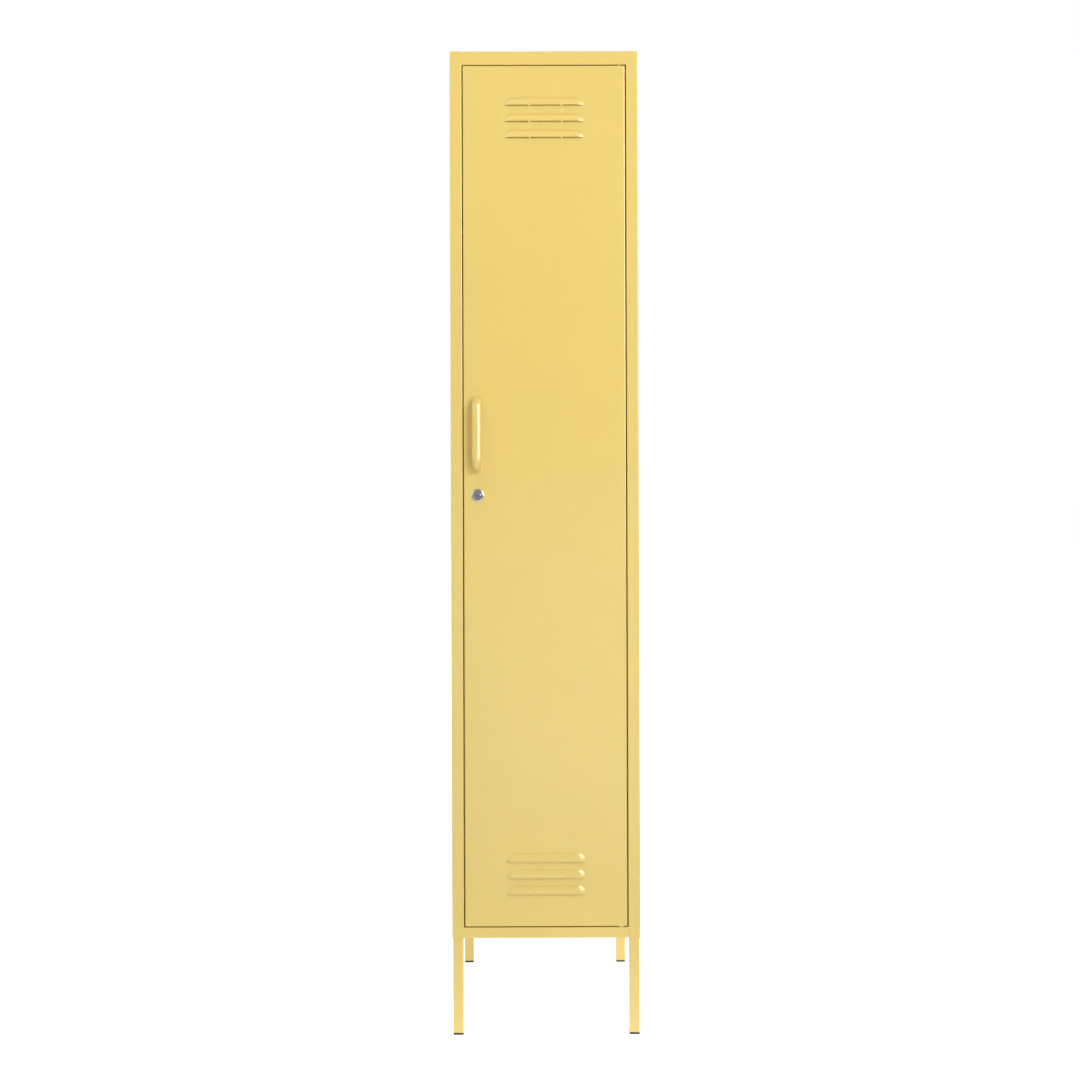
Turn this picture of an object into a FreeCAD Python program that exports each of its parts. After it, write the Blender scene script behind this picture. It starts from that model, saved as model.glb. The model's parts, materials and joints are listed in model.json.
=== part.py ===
import FreeCAD, Part
import math
import os
from collections import namedtuple

import Sketcher
from FreeCAD import Vector

# Tall single-door sheet metal locker on four square legs.
# Every piece is drawn in cabinet coordinates: x from the outside of the left wall, y back from
# the front face and z up from the floor. The placement of each piece then puts the origin under
# the middle of the locker's box, with the door facing -Y.

# Driving dimensions in millimetres.
DIMENSIONS = {
    # carcass
    "body_width": 350,
    "body_depth": 460,
    "body_height": 1650,
    "leg_length": 180,
    "sheet": 0.8,
    "bend_radius": 0.8,
    "butt_room": 0.5,
    "corner_seam": 0.4,
    "seam": 0.15,
    "post_width": 22,
    "post_lip": 12,
    "top_rail": 25,
    "bottom_rail": 20,
    "rail_return": 14,
    "plate_clearance": 0.3,
    # flanges by which the floor and the top are welded to the side walls
    "flange_height": 18,
    "flange_end": 2,
    # back panel
    "pan_depth": 18,
    "wall_hole_radius": 3.5,
    "wall_hole_spacing": 160,
    "wall_hole_drop": 60,
    # legs and feet
    "leg_side": 19,
    "leg_wall": 1.2,
    "leg_corner": 1.5,
    "leg_plate": 3,
    "foot_height": 4,
    "foot_plug": 15,
    "foot_plug_wall": 2,
    "foot_fit": 0.1,
    "foot_chamfer": 0.6,
    # bolts that hold the legs
    "hole_play": 0.2,
    "bolt_radius": 3,
    "bolt_flats": 10,
    "bolt_head": 4,
    "bolt_length": 18,
    # shelves and their clips
    "shelf_depth": 20,
    "shelf_clearance": 1,
    "shelf_pitch": 100,
    "first_slot": 100,
    "slot_end": 90,
    "clip_inset": 2,
    "clip_width": 8,
    "clip_sheet": 1.2,
    "clip_ledge": 14,
    "clip_drop": 12,
    "clip_hook": 1,
    "clip_tongue": 2.5,
    "clip_fit": 0.2,
    # hanging rail
    "rail_radius": 8,
    "rail_wall": 1.2,
    "rail_drop": 40,
    "rail_bracket_inset": 38,
    "rail_bracket_half": 14,
    "rail_bracket_foot": 18,
    "rail_bracket_sheet": 1.5,
    "rail_overhang": 4,
    "rail_fit": 0.1,
    # door
    "door_gap": 2,
    "door_depth": 16,
    "door_lip": 12,
    "door_edge_radius": 2.2,
    "stiffener_half": 18,
    "stiffener_flange": 12,
    "stiffener_height": 12,
    "stiffener_end": 30,
    # louvres pressed out of the door
    "louvre_length": 148,
    "louvre_height": 15.5,
    "louvre_land": 5,
    "louvre_projection": 4,
    "louvre_pitch": 30,
    "upper_louvre_drop": 73.5,
    "lower_louvre_rise": 60.5,
    "bridge_spacing": 60,
    "bridge_offset": 3,
    "bridge_width": 4,
    # pivot hinges
    "hinge_inset": 11,
    "hinge_edge": 0.25,
    "pin_radius": 3,
    "pin_play": 0.05,
    "pin_collar": 2,
    "pin_reach": 4,
    "bush_wall": 1.2,
    "bush_rim": 0.7,
    "bush_rim_height": 1.7,
    "bush_fit": 0.05,
    "hinge_plate": 1.5,
    "hinge_plate_length": 32,
    "swing_clearance": 0.6,
    "run_clearance": 0.3,
    # pull handle
    "handle_inset": 24.5,
    "handle_height": 1118,
    "handle_spacing": 128,
    "handle_width": 17,
    "handle_thickness": 11,
    "handle_side_radius": 3.2,
    "handle_projection": 30,
    "handle_bend": 18,
    "handle_screw_radius": 2,
    "handle_screw_head_radius": 4,
    "handle_screw_head": 2.4,
    "handle_screw_grip": 9,
    # cam lock
    "lock_inset": 26,
    "lock_height": 1004,
    "lock_face_radius": 12.5,
    "lock_face_depth": 3.6,
    "lock_face_round": 3.3,
    "lock_dish_radius": 8.6,
    "lock_dish_floor": 7.4,
    "lock_dish_depth": 1.6,
    "lock_barrel_radius": 9,
    "lock_plug_radius": 5.8,
    "lock_plug_rise": 0.7,
    "lock_plug_round": 0.5,
    "lock_play": 0.05,
    "lock_nut_flats": 23,
    "lock_nut_height": 4,
    "keyway_width": 1.4,
    "keyway_height": 7,
    "keyway_depth": 14,
    "cam_clearance": 0.5,
    "cam_sheet": 2,
    "cam_width": 14,
    "cam_heel": 8,
    "cam_overlap": 8,
    "cam_corner": 3,
    "cam_square": 7,
    "cam_screw_radius": 2,
    "cam_screw_head_radius": 4.2,
    "cam_screw_head": 2.2,
    "cam_screw_grip": 8,
    # bumpers and magnets that the closed door rests on
    "bumper_radius": 4,
    "bumper_end": 150,
    "magnet_length": 30,
    "magnet_width": 9,
    "magnet_end": 420,
}

# Louvres in each group, and where the shelves hang, counted in rows of clip slots.
LOUVRE_COUNT = 3
LOWER_SHELF_ROW = 1
MIDDLE_SHELF_ROW = 4
UPPER_SHELF_FROM_TOP = 3

doc = FreeCAD.newDocument("metal_locker")
dims = doc.addObject("Spreadsheet::Sheet", "dims")
for row, (alias, number) in enumerate(DIMENSIONS.items(), start=1):
    dims.set(f"A{row}", alias)
    dims.set(f"B{row}", str(number))
    dims.setAlias(f"B{row}", alias)
doc.recompute()


class Size:
    """A length written as a formula of sheet cells, so that a piece can be bound to it."""

    def __init__(self, formula):
        self.formula = formula

    def __add__(self, other):
        return Size(f"({self.formula} + {formula_of(other)})")

    def __radd__(self, other):
        return Size(f"({formula_of(other)} + {self.formula})")

    def __sub__(self, other):
        return Size(f"({self.formula} - {formula_of(other)})")

    def __rsub__(self, other):
        return Size(f"({formula_of(other)} - {self.formula})")

    def __mul__(self, other):
        return Size(f"({self.formula} * {formula_of(other)})")

    def __truediv__(self, other):
        return Size(f"({self.formula} / {formula_of(other)})")

    def __neg__(self):
        return Size(f"(0 - {self.formula})")

    def number(self):
        return float(dims.evalExpression(self.formula))


class Cells:
    """The cells of the sheet as sizes, by alias."""

    def __getattr__(self, alias):
        if alias not in DIMENSIONS:
            raise AttributeError(alias)
        return Size(f"dims.{alias}")


Disc = namedtuple("Disc", "across up radius")
Oval = namedtuple("Oval", "across up width height side")


def formula_of(size):
    return size.formula if isinstance(size, Size) else repr(size)


def number_of(size):
    return size.number() if isinstance(size, Size) else float(size)


def root(size):
    return Size(f"sqrt({size.formula})")


d = Cells()

# Places that several pieces share.
floor_top = d.leg_length + d.bottom_rail
floor_under = floor_top - d.sheet
body_top = d.leg_length + d.body_height
top_under = body_top - d.sheet
rail_under = body_top - d.top_rail
rail_left = d.post_width + d.seam
rail_length = d.body_width - rail_left * 2
outer_bend = d.bend_radius + d.sheet
butt_depth = outer_bend + d.butt_room
butt_x = d.post_width - butt_depth

door_left = d.post_width + d.door_gap
door_right = d.body_width - door_left
door_low = floor_top + d.door_gap
door_high = rail_under - d.door_gap
door_middle = d.body_width / 2

bush_bore = d.pin_radius + d.pin_play
bush_radius = bush_bore + d.bush_wall
bush_rim_radius = bush_radius + d.bush_rim
bush_hole = bush_radius + d.bush_fit
hinge_x = door_right - d.hinge_inset
hinge_y = d.sheet + bush_rim_radius + d.hinge_edge
hinge_back = d.door_depth - hinge_y
swing_radius = root(d.hinge_inset * d.hinge_inset + hinge_back * hinge_back)

# The stop lips of the posts, and the clips hooked through them, clear the door's back corner.
lip_front = hinge_y + swing_radius + d.swing_clearance + d.clip_hook
post_depth = lip_front + d.sheet
leg_near = (d.post_width - d.leg_side) / 2
leg_far = leg_near + d.leg_side
leg_middle = d.post_width / 2

lock_x = door_left + d.lock_inset
lock_z = d.lock_height
cam_front = post_depth + d.cam_clearance
cam_back = cam_front + d.cam_sheet
cam_length = d.lock_inset + d.door_gap - d.post_lip + d.cam_overlap
handle_x = door_left + d.handle_inset
handle_low = d.handle_height - d.handle_spacing / 2
handle_high = d.handle_height + d.handle_spacing / 2

slot_reach = rail_under - floor_top - d.first_slot - d.slot_end
slot_count = int(number_of(slot_reach / d.shelf_pitch)) + 1

bodies = []


def left(x):
    """A place measured from the left wall."""
    return x


def right(x):
    """The same place measured from the right wall."""
    return d.body_width - x


def front(y):
    """A place measured from the front face."""
    return y


def rear(y):
    """The same place measured from the back."""
    return d.body_depth - y


def bind(thing, prop, size):
    thing.setExpression(prop, formula_of(size))


def new_body(name):
    body = doc.addObject("PartDesign::Body", name)
    body.Label = name
    body.AllowCompound = True
    bind(body, "Placement.Base.x", -d.body_width / 2)
    bind(body, "Placement.Base.y", (d.handle_projection - d.body_depth) / 2)
    bodies.append(body)
    return body


def place_point(sketch, geometry, end, across, up, set_across=True, set_up=True):
    """Hold one end of a line or arc, or a centre, at its distances from the sketch's origin."""
    wanted = []
    if set_across:
        wanted.append(("DistanceX", across, -2))
    if set_up:
        wanted.append(("DistanceY", up, -1))
    for kind, size, axis in wanted:
        value = number_of(size)
        if value == 0:
            sketch.addConstraint(Sketcher.Constraint("PointOnObject", geometry, end, axis))
        else:
            index = sketch.addConstraint(Sketcher.Constraint(kind, -1, 1, geometry, end, value))
            bind(sketch, f"Constraints[{index}]", size)


def draw_outline(sketch, corners):
    """A closed outline of straight edges. Upright and level edges are held so."""
    points = [Vector(number_of(across), number_of(up), 0) for across, up in corners]
    first = sketch.GeometryCount
    count = len(points)
    for place in range(count):
        line = Part.LineSegment(points[place], points[(place + 1) % count])
        sketch.addGeometry(line, False)
    for place in range(count):
        after = (place + 1) % count
        sketch.addConstraint(Sketcher.Constraint("Coincident", first + place, 2, first + after, 1))
    for place in range(count):
        before = points[place - 1]
        upright = abs(points[place].x - before.x) < 1e-9
        level = abs(points[place].y - before.y) < 1e-9
        edge = first + (place - 1) % count
        if upright:
            sketch.addConstraint(Sketcher.Constraint("Vertical", edge))
        if level:
            sketch.addConstraint(Sketcher.Constraint("Horizontal", edge))
        across, up = corners[place]
        place_point(sketch, first + place, 1, across, up, not upright, not level)


def draw_disc(sketch, disc):
    centre = Vector(number_of(disc.across), number_of(disc.up), 0)
    circle = Part.Circle(centre, Vector(0, 0, 1), number_of(disc.radius))
    index = sketch.addGeometry(circle, False)
    place_point(sketch, index, 3, disc.across, disc.up)
    held = sketch.addConstraint(Sketcher.Constraint("Radius", index, number_of(disc.radius)))
    bind(sketch, f"Constraints[{held}]", disc.radius)


def draw_oval(sketch, oval):
    """A crowned oval: two broad arcs, joined at the sides by two smaller ones, all tangent."""
    side = oval.side
    rise = oval.height / 2
    reach = oval.width / 2 - side
    broad = (reach * reach + rise * rise - side * side) / ((rise - side) * 2)
    sink = broad - rise
    turned = math.atan2(number_of(sink), number_of(reach))
    arcs = []
    for across, up, radius, start, end in (
        (oval.across + reach, oval.up, side, -turned, turned),
        (oval.across, oval.up - sink, broad, turned, math.pi - turned),
        (oval.across - reach, oval.up, side, math.pi - turned, math.pi + turned),
        (oval.across, oval.up + sink, broad, math.pi + turned, math.pi * 2 - turned),
    ):
        centre = Vector(number_of(across), number_of(up), 0)
        circle = Part.Circle(centre, Vector(0, 0, 1), number_of(radius))
        arcs.append(sketch.addGeometry(Part.ArcOfCircle(circle, start, end), False))
    for one, other in zip(arcs, arcs[1:] + arcs[:1]):
        sketch.addConstraint(Sketcher.Constraint("Tangent", one, 2, other, 1))
    far, upper, near, lower = arcs
    place_point(sketch, far, 3, oval.across + reach, oval.up)
    place_point(sketch, near, 3, oval.across - reach, oval.up)
    place_point(sketch, upper, 3, oval.across, oval.up - sink, set_across=False)
    place_point(sketch, lower, 3, oval.across, oval.up + sink, set_across=False)
    held = sketch.addConstraint(Sketcher.Constraint("Radius", near, number_of(side)))
    bind(sketch, f"Constraints[{held}]", side)
    sketch.addConstraint(Sketcher.Constraint("Equal", near, far))


def level_axis(sketch, up, length):
    """A level construction line to turn a section about."""
    start = Vector(0, number_of(up), 0)
    end = Vector(number_of(length), number_of(up), 0)
    axis = sketch.addGeometry(Part.LineSegment(start, end), True)
    sketch.addConstraint(Sketcher.Constraint("Horizontal", axis))
    place_point(sketch, axis, 1, 0, up)
    place_point(sketch, axis, 2, length, up, set_up=False)


def new_sketch(body, name, plane, start):
    """A sketch across one axis: plane XY faces z, YZ faces x and XZ faces y, at start on it."""
    sketch = body.newObject("Sketcher::SketchObject", f"{body.Name}_{name}_sketch")
    support = [part for part in body.Origin.OriginFeatures if part.Role == f"{plane}_Plane"][0]
    sketch.AttachmentSupport = [(support, "")]
    sketch.MapMode = "FlatFace"
    bind(sketch, "AttachmentOffset.Base.z", -start if plane == "XZ" else start)
    return sketch


def draw_loops(sketch, loops):
    for loop in loops:
        if isinstance(loop, Disc):
            draw_disc(sketch, loop)
        elif isinstance(loop, Oval):
            draw_oval(sketch, loop)
        else:
            draw_outline(sketch, loop)


def rectangle(across_from, up_from, across_to, up_to):
    return [
        (across_from, up_from),
        (across_to, up_from),
        (across_to, up_to),
        (across_from, up_to),
    ]


def hexagon(across, up, flats):
    """A hexagon with two of its corners above and below its centre."""
    reach = flats / math.sqrt(3)
    corners = []
    for step in range(6):
        turn = math.radians(30 + 60 * step)
        corners.append((across + reach * math.cos(turn), up + reach * math.sin(turn)))
    return corners


def slab(body, name, plane, start, length, loops):
    """Outlines made solid from start, over length, along the axis that the plane faces."""
    sketch = new_sketch(body, name, plane, start)
    draw_loops(sketch, loops)
    pad = body.newObject("PartDesign::Pad", f"{body.Name}_{name}")
    pad.Profile = sketch
    pad.Reversed = plane == "XZ"
    bind(pad, "Length", length)
    return pad


def check_cut(body, feature, volume):
    doc.recompute()
    if not body.Shape.Volume < volume - 1e-6:
        raise ValueError(f"{feature.Name} removes nothing")


def cut(body, name, plane, start, length, loops):
    """Outlines cut away from start, over length, along the axis that the plane faces."""
    doc.recompute()
    volume = body.Shape.Volume
    sketch = new_sketch(body, name, plane, start)
    draw_loops(sketch, loops)
    pocket = body.newObject("PartDesign::Pocket", f"{body.Name}_{name}")
    pocket.Profile = sketch
    pocket.Reversed = plane != "XZ"
    bind(pocket, "Length", length)
    check_cut(body, pocket, volume)
    return pocket


def turn(body, name, kind, sketch, angle, back=False):
    """A section turned about its level axis. A Revolution adds it and a Groove cuts it away."""
    turned = body.newObject(f"PartDesign::{kind}", f"{body.Name}_{name}")
    turned.Profile = sketch
    turned.ReferenceAxis = (sketch, ["Axis0"])
    turned.Angle = angle
    turned.Reversed = back
    return turned


def repeat(body, name, originals, axis, length, count):
    """Copies of features in a row along an axis of the body, the last one at length."""
    row = body.newObject("PartDesign::LinearPattern", f"{body.Name}_{name}")
    row.Originals = originals
    direction = [part for part in body.Origin.OriginFeatures if part.Role == f"{axis}_Axis"][0]
    row.Direction = (direction, [""])
    bind(row, "Length", length)
    row.Occurrences = count
    body.Tip = row
    return row


def edges_along(shape, axis, places):
    """Names of the straight edges that run along an axis through places on the other two axes."""
    others = [letter for letter in "xyz" if letter != axis]
    wanted = [tuple(number_of(size) for size in place) for place in places]
    names = []
    for number, edge in enumerate(shape.Edges, start=1):
        if edge.Curve.TypeId != "Part::GeomLine":
            continue
        if abs(getattr(edge.tangentAt(edge.FirstParameter), axis)) < 0.999:
            continue
        middle = edge.CenterOfMass
        found = tuple(getattr(middle, letter) for letter in others)
        if any(math.dist(found, place) < 0.01 for place in wanted):
            names.append(f"Edge{number}")
    if not names:
        raise ValueError("no edge found to round")
    return names


def rims_at(shape, depth, radius):
    """Names of the round edges of a radius about a line along y, at a depth."""
    names = []
    for number, edge in enumerate(shape.Edges, start=1):
        if edge.Curve.TypeId != "Part::GeomCircle":
            continue
        found = (edge.Curve.Center.y, edge.Curve.Radius)
        if math.dist(found, (number_of(depth), number_of(radius))) < 0.01:
            names.append(f"Edge{number}")
    if not names:
        raise ValueError("no rim found to round")
    return names


def dress(body, name, kind, prop, names, size):
    base = body.Tip
    feature = body.newObject(f"PartDesign::{kind}", f"{body.Name}_{name}")
    feature.Base = (base, names)
    bind(feature, prop, size)
    return feature


def fillet(body, name, axis, places, radius):
    doc.recompute()
    return dress(body, name, "Fillet", "Radius", edges_along(body.Tip.Shape, axis, places), radius)


def chamfer(body, name, axis, places, size):
    doc.recompute()
    return dress(body, name, "Chamfer", "Size", edges_along(body.Tip.Shape, axis, places), size)


def round_rim(body, name, depth, rim_radius, radius):
    doc.recompute()
    return dress(body, name, "Fillet", "Radius", rims_at(body.Tip.Shape, depth, rim_radius), radius)


def side_panel(name, side):
    """Side wall folded round into the front and rear posts and their stop lips.

    The front post's fold is cut away beside the rails, which are butted to it there, flush in front.
    """
    body = new_body(name)
    wall = d.sheet
    inner = d.post_width - d.sheet
    tip = d.post_width + d.post_lip
    outer = d.post_width
    back = d.body_depth
    half = [
        (0, 0),
        (outer, 0),
        (outer, lip_front),
        (tip, lip_front),
        (tip, post_depth),
        (inner, post_depth),
        (inner, wall),
        (wall, wall),
    ]
    profile = [(side(x), front(y)) for x, y in half]
    profile += [(side(x), rear(y)) for x, y in reversed(half)]
    slab(body, "fold", "XY", d.leg_length, d.body_height, [profile])
    relief = rectangle(side(inner), wall, side(tip + d.sheet), back - wall)
    cut(body, "floor_relief", "XY", d.leg_length, d.bottom_rail, [relief])
    cut(body, "top_relief", "XY", top_under, d.sheet, [relief])
    corner = rectangle(side(butt_x), 0, side(outer), butt_depth)
    cut(body, "bottom_corner", "XY", d.leg_length, d.bottom_rail, [corner])
    cut(body, "top_corner", "XY", rail_under, d.top_rail, [corner])

    slot_low = floor_top + d.first_slot - d.clip_tongue - d.clip_fit
    slot_near = side(d.post_width + d.clip_inset - d.clip_fit)
    slot_far = side(d.post_width + d.clip_inset + d.clip_width + d.clip_fit)
    slot = rectangle(slot_near, slot_low, slot_far, slot_low + d.clip_tongue + d.clip_fit * 2)
    slots = cut(body, "clip_slot", "XZ", lip_front - d.sheet, back - (lip_front - d.sheet) * 2, [slot])
    repeat(body, "clip_slots", [slots], "Z", d.shelf_pitch * (slot_count - 1), slot_count)

    for end, name_of_end in ((front, "front"), (rear, "rear")):
        corners = [(side(0), end(0)), (side(outer), end(0)), (side(inner), end(post_depth))]
        fillet(body, f"{name_of_end}_outer_bends", "z", corners, outer_bend)
        corners = [(side(wall), end(wall)), (side(inner), end(wall)), (side(outer), end(lip_front))]
        fillet(body, f"{name_of_end}_inner_bends", "z", corners, d.bend_radius)


def rail_profile(end, low, high):
    """Rail that hangs from a plate at high and turns back into the cabinet at low."""
    corners = [
        (0, low),
        (d.rail_return, low),
        (d.rail_return, low + d.sheet),
        (d.sheet, low + d.sheet),
        (d.sheet, high),
        (0, high),
    ]
    return [(end(y), z) for y, z in corners]


def flange_profile(side, top):
    """Flange against the inside of a side wall, turned down from a plate whose top is given."""
    near = d.sheet
    inner = d.sheet * 2
    far = d.sheet * 4
    corners = [
        (near, top - d.flange_height),
        (inner, top - d.flange_height),
        (inner, top - d.sheet),
        (far, top - d.sheet),
        (far, top),
        (near, top),
    ]
    return [(side(x), z) for x, z in corners]


def tray(name, low, top, right_seam):
    """Plate let in between the side walls, notched round the posts, its four edges turned down.

    The side flanges are welded to the walls, and the front and rear edges make the rails. The front
    rail runs on to the posts' front walls, butted at the left and right_seam short of them at the right.
    """
    body = new_body(name)
    under = top - d.sheet
    gap = d.sheet + d.plate_clearance
    quarter = [
        (d.sheet * 4, post_depth),
        (gap, post_depth),
        (gap, gap),
        (rail_left, gap),
        (rail_left, 0),
    ]
    outline = [(left(x), front(y)) for x, y in quarter]
    outline += [(right(x), front(y)) for x, y in reversed(quarter)]
    outline += [(right(x), rear(y)) for x, y in quarter]
    outline += [(left(x), rear(y)) for x, y in reversed(quarter)]
    slab(body, "plate", "XY", under, d.sheet, [outline])
    rails = [rail_profile(end, low, under) for end in (front, rear)]
    slab(body, "rails", "YZ", rail_left, rail_length, rails)
    start = post_depth + d.flange_end
    flanges = [flange_profile(side, top) for side in (left, right)]
    slab(body, "flanges", "XZ", start, d.body_depth - start * 2, flanges)
    edges = [(end(0), z) for end in (front, rear) for z in (low, top)]
    fillet(body, "rail_bends", "x", edges, outer_bend)
    fillet(body, "flange_bends", "y", [(side(d.sheet), top) for side in (left, right)], outer_bend)
    rail_right = d.body_width - rail_left
    left_end = rectangle(butt_x, low, rail_left, top)
    right_end = rectangle(rail_right, low, d.body_width - butt_x - right_seam, top)
    slab(body, "front_ends", "XZ", Size("0"), d.sheet, [left_end, right_end])
    return body


def top_panel():
    """Top tray. The upper hinge pin drops through the return of its front rail."""
    body = tray("top_panel", rail_under, body_top, Size("0"))
    pin_hole = Disc(hinge_x, hinge_y, bush_bore)
    cut(body, "pin_hole", "XY", rail_under - d.sheet, d.sheet * 3, [pin_hole])


def leg_places():
    return [
        (side(leg_middle), end(leg_middle))
        for side in (left, right)
        for end in (front, rear)
    ]


def floor_panel():
    """Floor tray with the holes for the leg bolts and the lower hinge pin."""
    body = tray("floor_panel", d.leg_length, floor_top, d.corner_seam)
    holes = [Disc(x, y, d.bolt_radius + d.hole_play) for x, y in leg_places()]
    holes.append(Disc(hinge_x, hinge_y, bush_bore))
    cut(body, "holes", "XY", floor_under - d.sheet, d.sheet * 3, holes)


def back_panel():
    """Back pan whose side flanges are welded to the rear posts, with two wall fixing holes."""
    body = new_body("back_panel")
    low = floor_top + d.seam
    high = rail_under - d.seam
    pan_left = d.post_width
    pan_right = d.body_width - d.post_width
    pan_front = d.body_depth - d.pan_depth
    outline = rectangle(pan_left, low, pan_right, high)
    slab(body, "pan", "XZ", pan_front, d.pan_depth, [outline])
    wall = d.sheet
    hollow = rectangle(pan_left + wall, low + wall, pan_right - wall, high - wall)
    cut(body, "hollow", "XZ", pan_front, d.pan_depth - wall, [hollow])
    row = rail_under - d.wall_hole_drop
    places = [door_middle - d.wall_hole_spacing / 2, door_middle + d.wall_hole_spacing / 2]
    holes = [Disc(x, row, d.wall_hole_radius) for x in places]
    cut(body, "wall_holes", "XZ", d.body_depth - wall * 2, wall * 3, holes)
    upright = [(pan_left, d.body_depth), (pan_right, d.body_depth)]
    fillet(body, "upright_bends", "z", upright, outer_bend)
    inside = [(x, d.body_depth - wall) for x in (pan_left + wall, pan_right - wall)]
    fillet(body, "inner_bends", "z", inside, d.bend_radius)


def leg_square(side, end, inset):
    near = leg_near + inset
    far = leg_far - inset
    return rectangle(side(near), end(near), side(far), end(far))


def leg_corners(side, end, inset):
    near = leg_near + inset
    far = leg_far - inset
    return [(side(x), end(y)) for x in (near, far) for y in (near, far)]


def leg(name, side, end):
    """Square tube leg, closed at the top by a plate that takes the bolt."""
    body = new_body(name)
    length = floor_under - d.foot_height
    slab(body, "tube", "XY", d.foot_height, length, [leg_square(side, end, 0)])
    fillet(body, "corners", "z", leg_corners(side, end, 0), d.leg_corner)
    bore = leg_square(side, end, d.leg_wall)
    cut(body, "bore", "XY", d.foot_height, length - d.leg_plate, [bore])
    hole = Disc(side(leg_middle), end(leg_middle), d.bolt_radius + d.pin_play)
    cut(body, "bolt_hole", "XY", floor_under - d.leg_plate * 2, d.leg_plate * 3, [hole])


def foot_cap(name, side, end):
    """Foot pressed into the end of a leg tube."""
    body = new_body(name)
    slab(body, "sole", "XY", 0, d.foot_height, [leg_square(side, end, 0)])
    fillet(body, "corners", "z", leg_corners(side, end, 0), d.leg_corner)
    near = leg_near
    far = leg_far
    chamfer(body, "sole_sides", "y", [(side(near), 0), (side(far), 0)], d.foot_chamfer)
    plug_inset = d.leg_wall + d.foot_fit
    plug = leg_square(side, end, plug_inset)
    slab(body, "plug", "XY", d.foot_height, d.foot_plug, [plug])
    hollow = leg_square(side, end, plug_inset + d.foot_plug_wall)
    cut(body, "plug_hollow", "XY", d.foot_height, d.foot_plug, [hollow])


def leg_bolts():
    body = new_body("leg_bolts")
    heads = [hexagon(x, y, d.bolt_flats) for x, y in leg_places()]
    slab(body, "heads", "XY", floor_top, d.bolt_head, heads)
    shanks = [Disc(x, y, d.bolt_radius) for x, y in leg_places()]
    slab(body, "shanks", "XY", floor_top - d.bolt_length, d.bolt_length, shanks)


def shelf_seat(row):
    """Height of the clip ledges in a row of slots, where a shelf rests."""
    return floor_top + d.first_slot + d.shelf_pitch * row


def shelf(name, row):
    """Shelf tray with its flanges turned down, resting on four clips."""
    body = new_body(name)
    low = shelf_seat(row)
    near_x = d.sheet + d.shelf_clearance
    near_y = post_depth + d.shelf_clearance
    far_x = d.body_width - near_x
    far_y = d.body_depth - near_y
    slab(body, "tray", "XY", low, d.shelf_depth, [rectangle(near_x, near_y, far_x, far_y)])
    wall = d.sheet
    hollow = rectangle(near_x + wall, near_y + wall, far_x - wall, far_y - wall)
    cut(body, "hollow", "XY", low, d.shelf_depth - wall, [hollow])
    top = low + d.shelf_depth
    fillet(body, "front_and_rear_bends", "x", [(near_y, top), (far_y, top)], outer_bend)
    inside = [(y, top - wall) for y in (near_y + wall, far_y - wall)]
    fillet(body, "inner_bends", "x", inside, d.bend_radius)


def shelf_clips(name, row):
    """Four clips whose tongues hook through the slots of the stop lips."""
    body = new_body(name)
    seat = shelf_seat(row)
    corners = [
        (lip_front - d.clip_hook, seat - d.clip_tongue),
        (post_depth, seat - d.clip_tongue),
        (post_depth, seat - d.clip_drop),
        (post_depth + d.clip_sheet, seat - d.clip_drop),
        (post_depth + d.clip_sheet, seat - d.clip_sheet),
        (post_depth + d.clip_ledge, seat - d.clip_sheet),
        (post_depth + d.clip_ledge, seat),
        (lip_front - d.clip_hook, seat),
    ]
    profiles = [[(end(y), z) for y, z in corners] for end in (front, rear)]
    near = d.post_width + d.clip_inset
    slab(body, "left_clips", "YZ", near, d.clip_width, profiles)
    slab(body, "right_clips", "YZ", right(near + d.clip_width), d.clip_width, profiles)


def hanging_rail(row):
    """Clothes rail through the eyes of two brackets welded under the upper shelf."""
    shelf_under = shelf_seat(row) + d.shelf_depth - d.sheet
    middle = d.body_depth / 2
    height = shelf_seat(row) - d.rail_drop
    half = d.rail_bracket_half
    plate = rectangle(middle - half, height - half, middle + half, shelf_under)
    eye = Disc(middle, height, d.rail_radius + d.rail_fit)
    near = d.rail_bracket_inset
    for name, side in (("left_rail_bracket", left), ("right_rail_bracket", right)):
        body = new_body(name)
        start = near if side is left else side(near + d.rail_bracket_sheet)
        slab(body, "plate", "YZ", start, d.rail_bracket_sheet, [plate, eye])
        lower = [(middle - half, height - half), (middle + half, height - half)]
        fillet(body, "plate_corners", "x", lower, half * 0.9)
        foot_low = shelf_under - d.rail_bracket_sheet
        foot_far = near + d.rail_bracket_foot
        foot = rectangle(side(near), middle - half, side(foot_far), middle + half)
        slab(body, "foot", "XY", foot_low, d.rail_bracket_sheet, [foot])

    body = new_body("hanging_rail")
    start = near - d.rail_overhang
    ring = [Disc(middle, height, d.rail_radius), Disc(middle, height, d.rail_radius - d.rail_wall)]
    slab(body, "tube", "YZ", start, d.body_width - start * 2, ring)


def hinge_pins():
    """Lower pin riveted through the floor plate and upper pin dropped through the top rail."""
    body = new_body("lower_hinge_pin")
    collar = Disc(hinge_x, hinge_y, bush_rim_radius)
    shank = Disc(hinge_x, hinge_y, d.pin_radius)
    low = floor_under - d.pin_collar
    slab(body, "collar", "XY", low, d.pin_collar, [collar])
    tip = door_low + d.sheet + d.hinge_plate + d.pin_reach
    slab(body, "shank", "XY", floor_under, tip - floor_under, [shank])

    body = new_body("upper_hinge_pin")
    seat = rail_under + d.sheet
    slab(body, "head", "XY", seat, d.pin_collar, [collar])
    tip = door_high - d.sheet - d.hinge_plate - d.bush_rim_height - d.pin_reach
    slab(body, "shank", "XY", tip, seat - tip, [shank])


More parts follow.
